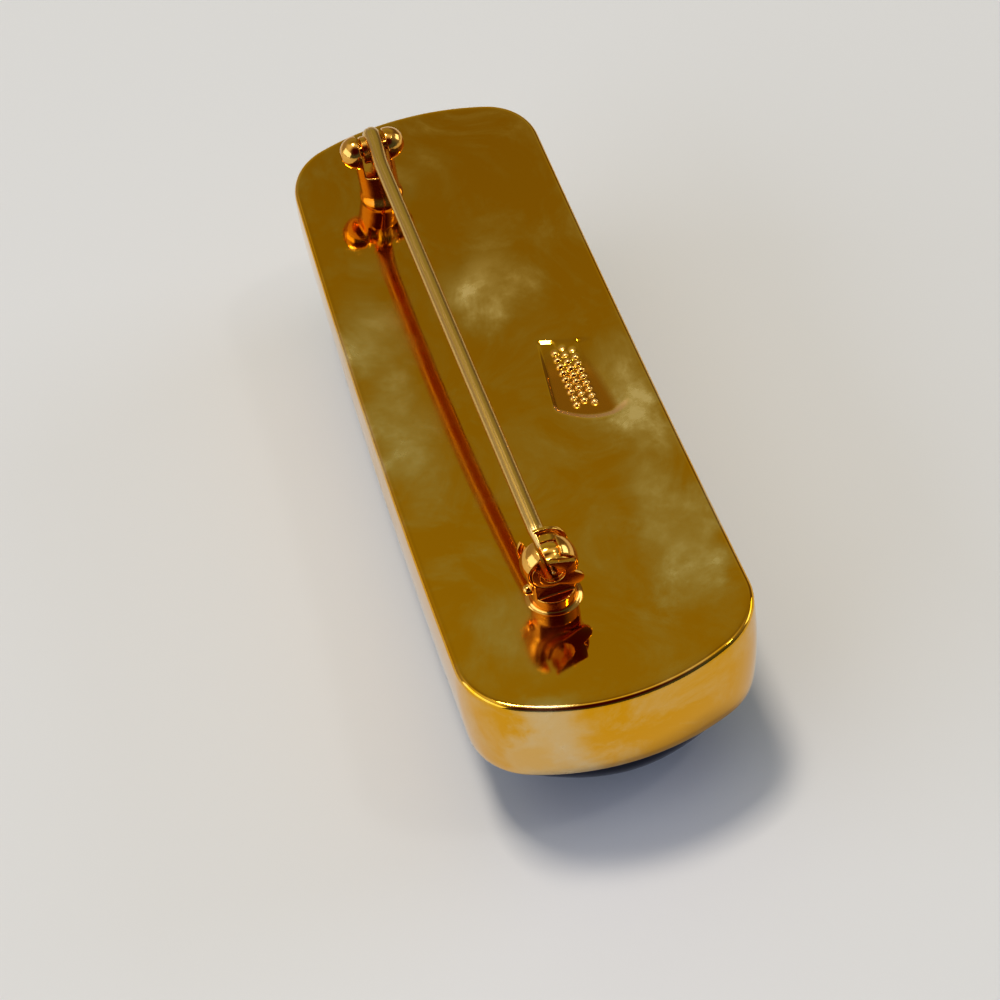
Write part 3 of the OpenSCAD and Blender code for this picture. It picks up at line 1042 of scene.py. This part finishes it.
@dataclass(frozen=True)
class Foot:
    """A turned post that flares into its solder at the plate.

    Lip is the height of the foot's upright edge above the plate, rise the height over which the foot draws
    in to the post, and top the height of the post's end above the origin.
    """

    post: float
    spread: float
    lip: float
    rise: float
    top: float
    sunk: float = 0.35
    undercut: float = 0.05
    rows: int = 12

    def skin(self, height: float) -> Skin:
        """Turns the foot.

        Args:
            height: the plate's depth below the origin.

        Returns:
            The points and the faces.
        """
        floor = -height - self.sunk
        t = np.linspace(0, 1, self.rows)
        flare = zip(self.post + self.spread * (1 - smoothstep(0.0, 1.0, t)),
                    -height + self.lip + self.rise * t)
        return lathe([(0.0, floor), (self.post + self.spread - self.undercut, floor), *flare,
                      (self.post, self.top), (0.0, self.top)])


@dataclass
class Findings(SubAssembly):
    """The hinge fork and the catch's ball, cast and soldered to the back plate."""

    body, slot, node = Body.BROOCH, Slot.CASE, "case"

    line: PinLine
    voxel: float = 0.048
    rounding: int = 14
    finishing: int = 4
    clear: float = 4.0
    fork_foot: Foot = Foot(post=1.42, spread=0.18, lip=-0.1, rise=0.8, top=-0.3)
    ear_radius: float = 1.15
    ear_offset: float = 1.2
    ear_slot: float = 1.95
    ear_bore: float = 0.42
    eye_radius: float = 1.49
    eye_room: float = 0.2
    catch_foot: Foot = Foot(post=1.45, spread=0.35, lip=0.05, rise=0.3, top=0.0)
    ball_radius: float = 1.75
    ball_bore: float = 1.42
    mouth: float = 1.25
    near_face: float = -0.8
    far_face: float = 0.6
    face_floor: float = -2.25
    stop_radius: float = 0.34
    stop_ahead: float = -0.2
    stop_aside: float = 0.12
    stop_below: float = 0.05

    def bar(self, radius: float, axis: str) -> Skin:
        """A long round cutter along Z, turned about X to lie along Y, or about Y to lie along X."""
        long = 1.5 * self.clear
        return moved(lathe([(0.0, -long), (radius, -long), (radius, long), (0.0, long)]),
                     Matrix.Rotation(QUARTER_TURN, 4, axis))

    def cast(self, name: str, place: Matrix, solids: Sequence[Skin], cutters: Sequence[Skin]) -> Piece:
        """Joins solids, takes the cutters away and rounds everything as a casting is.

        Args:
            name: the piece's name.
            place: where the piece stands on the bar.
            solids: skins of what is joined.
            cutters: skins of what is cut away.

        Returns:
            The finished piece.
        """
        piece = mesh_piece(name, solids[0])
        for how, skins, passes in (("UNION", solids[1:], self.rounding),
                                   ("DIFFERENCE", cutters, self.finishing)):
            for skin in skins:
                other = mesh_piece("tool", skin)
                apply_modifier(piece, "BOOLEAN", operation=how, solver="MANIFOLD", object=other)
                bpy.data.objects.remove(other)
            apply_modifier(piece, "REMESH", mode="VOXEL", voxel_size=self.voxel * MM)
            apply_modifier(piece, "SMOOTH", factor=0.5, iterations=passes)
        piece.data.transform(Matrix.Scale(MM, 4) @ place @ Matrix.Scale(1 / MM, 4))
        piece.data.shade_smooth()
        return piece

    def build_fork(self) -> Piece:
        """Builds the hinge fork: two rounded ears on one foot.

        Returns:
            The finished piece.
        """
        ears = [ball(self.ear_radius, (0.0, side * self.ear_offset, 0.0)) for side in (-1, 1)]
        half, clear = self.ear_slot / 2, self.clear
        return self.cast("hinge_fork", self.line.at_rivet,
                         [self.fork_foot.skin(self.line.rivet_height), *ears],
                         [block((-clear, -half, -self.eye_radius - self.eye_room), (clear, half, clear)),
                          self.bar(self.ear_bore, "X")])

    def build_ball(self) -> Piece:
        """Builds the catch's ball with its foot and its stop, cut flat in front and behind.

        Returns:
            The finished piece.
        """
        half, clear, floor = self.mouth / 2, self.clear, self.face_floor
        stop = (self.stop_ahead, self.catch_foot.post + self.stop_aside, -self.ball_radius - self.stop_below)
        return self.cast("catch_ball", self.line.at_catch,
                         [self.catch_foot.skin(self.line.catch_height), ball(self.ball_radius),
                          ball(self.stop_radius, stop)],
                         [block((-2 * clear, -clear, floor), (self.near_face, clear, clear)),
                          block((self.far_face, -clear, floor), (2 * clear, clear, clear)),
                          self.bar(self.ball_bore, "Y"), block((-clear, -half, 0), (clear, half, clear))])


@dataclass
class HingeRivet(SubAssembly):
    """The wire through the ears, filed almost flush with them."""

    body, slot, node = Body.BROOCH, Slot.RIVET, "hinge_rivet"

    line: PinLine
    radius: float = 0.38
    reach: float = 2.24
    dome: float = 0.06
    dome_degrees: tuple[float, ...] = (0.0, 20.0, 40.0, 60.0, 75.0)
    around: int = 48
    crisp_from: float = 40.0

    def build(self) -> Piece:
        """Turns the rivet and lays it across the fork.

        Returns:
            The finished piece.
        """
        half = [(self.radius * math.cos(t), self.reach + self.dome * math.sin(t))
                for t in np.radians(self.dome_degrees)]
        half.append((0.0, self.reach + self.dome))
        profile = [(r, -z) for r, z in reversed(half)] + half
        place = self.line.at_rivet @ Matrix.Rotation(QUARTER_TURN, 4, "X")
        return mesh_piece("rivet_wire", moved(lathe(profile, self.around), place), self.crisp_from)


@dataclass
class PinWire(SubAssembly):
    """The pin: a ground point, a straight wire with a drawn seam, and an eye curled round a sleeve."""

    body, slot, node = Body.PIN, Slot.WIRE, "pin_stem"

    line: PinLine
    radius: float = 0.5
    around: int = 64
    crisp_from: float = 60.0
    end: float = 39.28
    tip_steps: Triple = (0.0, 0.03, 0.08)
    tip_radii: Pair = (0.08, 0.12)
    point_radius: float = 0.14
    point_start: float = 0.2
    point_rows: int = 20
    taper_start: float = 35.9
    stem_rows: int = 120
    seam_depth: float = 0.035
    seam_degrees: float = 9.0
    seam_flat: float = 0.2
    seam_turn: float = 75.0
    eye_rows: int = 70
    eye_end_degrees: float = -195.0
    eye_shift: float = -0.2
    eye_shift_reach: float = 3.2
    eye_widening: float = 0.08
    eye_widening_reach: float = 3.0
    sleeve_radius: float = 0.97
    sleeve_bore: float = 0.45
    sleeve_width: float = 1.58
    sleeve_edge: float = 0.07
    sleeve_crisp_from: float = 40.0

    def path(self) -> tuple[np.ndarray, np.ndarray, np.ndarray]:
        """The wire's middle line in the pin's own frame.

        Returns:
            The points, their directions, and the wire's radius at each.
        """
        lift, taper_length = self.line.stem_lift, self.end - self.taper_start
        stem = np.concatenate([self.end - np.array(self.tip_steps),
                               np.linspace(self.end - self.point_start, self.taper_start, self.point_rows),
                               np.linspace(self.taper_start, 0.0, self.stem_rows)[1:]])
        aside = self.eye_shift * (1 - smoothstep(0.0, self.eye_shift_reach, stem))
        taper = np.clip((self.end - stem) / taper_length, 0, 1)
        radii = self.point_radius + (self.radius - self.point_radius) * taper
        radii[:2] = self.tip_radii
        turn = np.radians(np.linspace(90, self.eye_end_degrees, self.eye_rows))[1:]
        points = np.vstack([
            np.column_stack([-stem, aside, np.full(len(stem), lift)]),
            np.column_stack([lift * np.cos(turn), np.full(len(turn), self.eye_shift), lift * np.sin(turn)])])
        ways = np.vstack([np.tile([1.0, 0.0, 0.0], (len(stem), 1)),
                          np.column_stack([np.sin(turn), np.zeros(len(turn)), -np.cos(turn)])])
        return points, ways, np.append(radii, np.full(len(turn), self.radius))

    def build(self) -> Piece:
        """Sweeps the wire along its path.

        Returns:
            The finished piece, with a UV map in millimetres along and round the wire.
        """
        points, ways, radii = self.path()
        turn = circle(self.around)
        near_seam = np.abs((np.degrees(turn) - self.seam_turn + 180) % 360 - 180)
        seam_edge = smoothstep(self.seam_flat * self.seam_degrees, self.seam_degrees, near_seam)
        dent = self.seam_depth * (1 - seam_edge)
        side = np.array([0.0, 1.0, 0.0])
        flat = self.eye_widening / self.radius * (1 - smoothstep(0.0, self.eye_widening_reach, -points[:, 0]))
        rings = []
        for p, way, r, wider in zip(points, ways, radii, flat):
            reach = (r - dent * r / self.radius)[:, None]
            rings.append(p + reach * (np.cos(turn)[:, None] * side * (1 + wider)
                                      + np.sin(turn)[:, None] * np.cross(way, side)))
        skin = loft(rings, points[0], points[-1])
        piece = mesh_piece("pin_wire", moved(skin, self.line.at_pin), self.crisp_from)
        self.map_wire(piece, points)
        return piece

    def map_wire(self, piece: Piece, points: np.ndarray) -> None:
        """Gives the wire its UV map.

        Args:
            piece: the wire, skinned ring by ring.
            points: its middle line.
        """
        length = np.concatenate([[0], np.cumsum(np.linalg.norm(np.diff(points, axis=0), axis=1))])
        layer = piece.data.uv_layers.new(name=WIRE_MAP)
        count, rows = self.around, len(points)
        step = FULL_TURN * self.radius / count
        for face in piece.data.polygons:
            numbers = [piece.data.loops[i].vertex_index for i in face.loop_indices]
            turns = [n % count for n in numbers if n < rows * count]
            wraps = max(turns) - min(turns) > count / 2
            for i, n in zip(face.loop_indices, numbers):
                t = n % count if n < rows * count else turns[0]
                layer.data[i].uv = (length[min(n // count, rows - 1)],
                                    step * (t + count if wraps and t < count / 2 else t))

    def build_sleeve(self) -> Piece:
        """Builds the short sleeve inside the curled eye, which keeps the wire off the ears.

        Returns:
            The finished piece.
        """
        half, bore, out, edge = self.sleeve_width / 2, self.sleeve_bore, self.sleeve_radius, self.sleeve_edge
        profile = [(bore, -half + edge), (bore + edge, -half), (out - edge, -half), (out, -half + edge)]
        profile += [(r, -z) for r, z in profile[::-1]]
        place = self.line.at_pin @ Matrix.Rotation(QUARTER_TURN, 4, "X")
        skin = moved(lathe(profile + profile[:1], self.around), place)
        return mesh_piece("eye_sleeve", skin, self.sleeve_crisp_from)


@dataclass
class TurningLock(SubAssembly):
    """The lock in the ball: a slit barrel, a collar on the far side and a near plate with the thumb tab."""

    body, slot, node = Body.LOCK, Slot.LOCK, "catch_lock"

    line: PinLine
    barrel_outer: float = 1.34
    barrel_inner: float = 0.62
    barrel_rows: int = 12
    barrel_lap: float = 0.02
    collar_radius: float = 1.59
    collar_lap: float = 0.05
    collar_near: float = 1.16
    collar_far: float = 1.39
    land_middle: float = -0.1
    land_reach: float = 0.62
    land_crown: float = 0.24
    plate_near: float = -1.14
    plate_far: float = -0.87
    plate_ring: float = 0.94
    plate_corners: tuple[Pair, ...] = ((1.36, 35.0), (1.57, 68.0), (1.51, 144.0))
    tab_length: float = 2.09
    tab_root: float = 0.74
    tab_tip: float = 0.49
    tab_drop: float = 37.0
    slot_lead: float = 162.0
    slot_width: float = 1.02
    slot_passes: int = 12
    edge_round: float = 0.05
    edge_degrees: tuple[float, ...] = (0.0, 30.0, 60.0, 90.0)
    around: int = 200
    circle_steps: int = 180
    crisp_from: float = 35.0

    def cut_ring(self, reach: Callable[[np.ndarray], np.ndarray], inner: float) -> np.ndarray:
        """Outline of a slit ring in the plane across the pin.

        Args:
            reach: outer radius at each direction in radians, 0 being the direction of the tab.
            inner: radius of the hole.

        Returns:
            Rows of two coordinates, the first along the tab: the outside, then as many round the hole.
        """
        middle, half = math.radians(self.slot_lead), self.slot_width / 2
        inner_half = math.asin(half / inner)
        ends = []
        for side in (1, -1):
            turn = inner_half
            for _ in range(self.slot_passes):
                turn = math.asin(half / float(reach(np.array([middle + side * turn]))[0]))
            ends.append(turn)
        outer = np.linspace(middle + ends[0], middle + FULL_TURN - ends[1], self.around)
        hole = np.linspace(middle + FULL_TURN - inner_half, middle + inner_half, self.around)
        turn = np.append(outer, hole)
        radius = np.append(reach(outer), np.full(self.around, inner))
        return np.column_stack([radius * np.cos(turn), radius * np.sin(turn)])

    def plate_reach(self, turn: np.ndarray) -> np.ndarray:
        """Outer radius of the near plate: a ring about the pin, a cheek with straight edges, and the tab.

        Args:
            turn: directions in radians, 0 being the direction of the tab.

        Returns:
            The radius at each direction.
        """
        way = circle(self.circle_steps)
        disc = np.column_stack([np.cos(way), np.sin(way)])
        corners = [[r * math.cos(math.radians(a)), r * math.sin(math.radians(a))]
                   for r, a in self.plate_corners]
        cheek = np.vstack([disc * self.plate_ring, corners])
        tab = np.vstack([disc * self.tab_root, disc * self.tab_tip + [self.tab_length - self.tab_tip, 0.0]])
        return np.maximum(hull_reach(cheek, turn), hull_reach(tab, turn))

    def thick(self, flat: np.ndarray, near: float, far: float, rows: int = 0) -> Skin:
        """Gives a flat outline its thickness along X, with rounded edges.

        Args:
            flat: rows of two coordinates, anticlockwise.
            near: x of the near face.
            far: x of the far face.
            rows: extra rings between the two faces.

        Returns:
            The points and the faces.
        """
        way = np.roll(flat, -1, axis=0) - np.roll(flat, 1, axis=0)
        length = np.maximum(np.linalg.norm(way, axis=1), 1e-9)
        normal = np.column_stack([way[:, 1], -way[:, 0]]) / length[:, None]
        b = self.edge_round
        round_off = [(b * (1 - math.sin(t)), b * (1 - math.cos(t))) for t in np.radians(self.edge_degrees)]
        steps = [(near + x, inset) for x, inset in round_off[::-1]]
        steps += [(x, 0.0) for x in np.linspace(near + b, far - b, rows + 2)[1:-1]]
        steps += [(far - x, inset) for x, inset in round_off]
        rings = []
        for x, inset in steps:
            p = flat - normal * inset
            # The tab's direction is -Y in the lock's own frame, so the outline's first axis is laid there.
            rings.append(np.column_stack([np.full(len(p), x), -p[:, 0], p[:, 1]]))
        points, faces = loft(rings[::-1])
        count, last = len(flat), len(points) - len(flat)
        # The outside and the hole have equal counts, so a row of quads closes each face between them.
        for i in range(count // 2 - 1):
            across = [i, i + 1, count - 2 - i, count - 1 - i]
            faces += [across[::-1], [last + j for j in across]]
        return points, faces

    def build(self) -> Piece:
        """Builds the lock in its closed position.

        Returns:
            The finished piece.
        """
        barrel, barrel_faces = self.thick(
            self.cut_ring(lambda t: np.full_like(t, self.barrel_outer), self.barrel_inner),
            self.plate_far - self.barrel_lap, self.collar_near + self.barrel_lap, self.barrel_rows)
        outside = np.hypot(barrel[:, 1], barrel[:, 2]) > 0.9 * self.barrel_outer
        along = (barrel[:, 0] - self.land_middle) / self.land_reach
        swell = self.land_crown * np.clip(1 - along ** 2, 0, 1)
        barrel[:, 1:] *= np.where(outside, 1 + swell / self.barrel_outer, 1.0)[:, None]
        collar = self.cut_ring(lambda t: np.full_like(t, self.collar_radius),
                               self.barrel_outer - self.collar_lap)
        plate = self.cut_ring(self.plate_reach, self.barrel_inner)
        points: list[np.ndarray] = []
        faces: list[list[int]] = []
        for part_points, part_faces in (
                (barrel, barrel_faces), self.thick(collar, self.collar_near, self.collar_far),
                self.thick(plate, self.plate_near, self.plate_far)):
            start = sum(len(p) for p in points)
            points.append(part_points)
            faces += [[start + i for i in f] for f in part_faces]
        place = self.line.at_catch @ Matrix.Rotation(math.radians(self.tab_drop), 4, "X")
        return mesh_piece("turning_lock", moved((np.vstack(points), faces), place), self.crisp_from)


# ---- studio ----


@dataclass(frozen=True)
class SoftLight:
    """A soft rectangular light that faces the brooch, in metres and watts."""

    name: str
    place: Triple
    size: Pair
    watts: float
    colour: str

    def hang(self, target: Triple) -> None:
        """Hangs the light.

        Args:
            target: the point that it faces, in metres.
        """
        data = bpy.data.lights.new(self.name, "AREA")
        data.shape = "RECTANGLE"
        data.size, data.size_y = self.size
        data.energy = self.watts
        data.color = linear(self.colour)[:3]
        light = bpy.data.objects.new(self.name, data)
        light.location = self.place
        light.rotation_mode = "QUATERNION"
        light.rotation_quaternion = (Vector(target) - Vector(self.place)).to_track_quat("-Z", "Y")
        bpy.context.scene.collection.objects.link(light)


@dataclass(frozen=True)
class RoomPart:
    """A soft round part of the room, the angles over which it fades, and its colour higher up, if any."""

    colour: str
    middle: Triple
    fade: Pair
    higher: str = ""


# Two cool windows low at the sides, and two warm lamps high above.
LIGHTS = (
    SoftLight("window_left", (-0.1, 0.62, 0.25), (0.8, 0.42), 2.0, "#DCE8FF"),
    SoftLight("window_right", (0.07, -0.62, 0.26), (0.36, 0.24), 0.8, "#DCE8FF"),
    SoftLight("lamp_left", (0.27, 0.12, 1.26), (0.24, 0.2), 7.1, "#FFF3E2"),
    SoftLight("lamp_right", (-0.23, -0.6, 1.13), (0.1, 0.09), 0.6, "#FFF9F0"),
)

# The pale ceiling overhead, the dim corner on the right, the warm far ceiling and the dark near side.
ROOM_PARTS = (
    RoomPart("#E6E5E2", (0.05, 0.2, 0.98), (18.0, 52.0)),
    RoomPart("#726E64", (0.62, -0.7, 0.34), (14.0, 38.0)),
    RoomPart("#A2A67C", (0.66, -0.11, 0.745), (24.0, 40.0), higher="#868563"),
    RoomPart("#481611", (-0.617, 0.093, 0.78), (14.0, 40.0)),
)


@dataclass
class Studio:
    """The pale floor, the soft lights, the room that the gilding mirrors, and the camera."""

    floor_half: float = 1200.0
    target: Triple = (0.0, 0.0, 0.012)
    room: str = "#A09F9F"
    room_cool: str = "#546573"
    cool_limits: Pair = (-0.1, 0.7)
    higher_limits: Pair = (0.55, 0.9)
    film_toe: tuple[Pair, ...] = ((0.02, 0.008), (0.06, 0.036), (0.14, 0.112), (0.3, 0.285))
    lens_pixels: float = 1895.9
    sensor_mm: float = 36.0
    camera_mm: Triple = (-83.106, 14.425, 106.271)
    forward: Triple = (0.6163, -0.0962, -0.7816)
    down: Triple = (-0.7358, 0.2834, -0.6150)
    clip: Pair = (0.005, 10.0)

    def build_floor(self) -> None:
        """Builds the board that the brooch lies on."""
        h = self.floor_half
        board = np.array([[-h, -h, 0], [h, -h, 0], [h, h, 0], [-h, h, 0]])
        piece = mesh_piece("board", (board, [[0, 1, 2, 3]]))
        piece.data.materials.append(PaintedBoard().material())

    def build_lights(self) -> None:
        """Hangs the two windows and the two small lamps overhead."""
        for light in LIGHTS:
            light.hang(self.target)

    def build_room(self) -> None:
        """Paints the room: a soft pale surround, cooler in front, and its parts over that."""
        world = bpy.data.worlds.new("room")
        world.use_nodes = True
        tree = world.node_tree
        way = add_node(tree, "ShaderNodeTexCoord").outputs["Generated"]
        front = add_node(tree, "ShaderNodeVectorMath", {0: way, 1: (-1.0, 0.0, 0.0)},
                         operation="DOT_PRODUCT")
        cool = add_node(tree, "ShaderNodeMapRange", {
            "Value": front.outputs["Value"], "From Min": self.cool_limits[0],
            "From Max": self.cool_limits[1]})
        height = add_node(tree, "ShaderNodeSeparateXYZ", {"Vector": way}).outputs["Z"]
        rise = add_node(tree, "ShaderNodeMapRange", {
            "Value": height, "From Min": self.higher_limits[0], "From Max": self.higher_limits[1]})
        colour = add_node(tree, "ShaderNodeMix", {
            "Factor": cool.outputs["Result"], "A": linear(self.room), "B": linear(self.room_cool)},
            data_type="RGBA").outputs[2]
        for part in ROOM_PARTS:
            paint: Any = linear(part.colour)
            if part.higher:
                paint = add_node(tree, "ShaderNodeMix", {
                    "Factor": rise.outputs["Result"], "A": paint, "B": linear(part.higher)},
                    data_type="RGBA").outputs[2]
            towards = add_node(tree, "ShaderNodeVectorMath", {
                0: way, 1: tuple(Vector(part.middle).normalized())}, operation="DOT_PRODUCT")
            inner, outer = (math.cos(math.radians(d)) for d in part.fade)
            share = add_node(tree, "ShaderNodeMapRange", {
                "Value": towards.outputs["Value"], "From Min": outer, "From Max": inner},
                interpolation_type="SMOOTHSTEP")
            colour = add_node(tree, "ShaderNodeMix", {
                "Factor": share.outputs["Result"], "A": colour, "B": paint}, data_type="RGBA").outputs[2]
        tree.links.new(colour, tree.nodes["Background"].inputs["Color"])
        bpy.context.scene.world = world

    def build_camera(self) -> None:
        """Places the camera at the photograph's angle."""
        forward = Vector(self.forward).normalized()
        right = forward.cross(-Vector(self.down)).normalized()
        up = right.cross(forward).normalized()
        data = bpy.data.cameras.new("photo_camera")
        data.sensor_width = self.sensor_mm
        data.lens = self.lens_pixels / PHOTO_PIXELS * data.sensor_width
        data.clip_start, data.clip_end = self.clip
        camera = bpy.data.objects.new("photo_camera", data)
        turn = Matrix((right, up, -forward)).transposed().to_4x4()
        camera.matrix_world = Matrix.Translation(Vector(self.camera_mm) * MM) @ turn
        bpy.context.scene.collection.objects.link(camera)
        bpy.context.scene.camera = camera

    def set_film(self) -> None:
        """Shows colours as a plain camera does, a little deeper in the shadows."""
        view = bpy.context.scene.view_settings
        view.view_transform = "Standard"
        view.look = "None"
        view.use_curve_mapping = True
        combined = view.curve_mapping.curves[3]
        for light, shown in self.film_toe:
            combined.points.new(light, shown)
        view.curve_mapping.update()


def main() -> None:
    """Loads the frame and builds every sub-assembly."""
    logging.basicConfig(level=logging.INFO, format="%(name)s: %(message)s")
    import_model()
    form = BarForm()
    line = PinLine(form)
    plate_gilding = PolishedGilding().material()
    cast_gilding = CastGilding().material()

    case = GiltCase(form)
    case.dress(case.build(), plate_gilding)
    front = DomedFront(form)
    front.dress(front.build(), CastResin().material())
    findings = Findings(line)
    findings.dress(findings.build_fork(), cast_gilding)
    findings.dress(findings.build_ball(), cast_gilding)
    rivet = HingeRivet(line)
    rivet.dress(rivet.build(), cast_gilding)
    pin = PinWire(line)
    pin.dress(pin.build(), DrawnWire().material())
    pin.dress(pin.build_sleeve(), cast_gilding)
    lock = TurningLock(line)
    lock.dress(lock.build(), StampedGilding().material())

    studio = Studio()
    studio.build_floor()
    studio.build_lights()
    studio.build_room()
    studio.build_camera()
    studio.set_film()


if __name__ == "__main__":
    main()
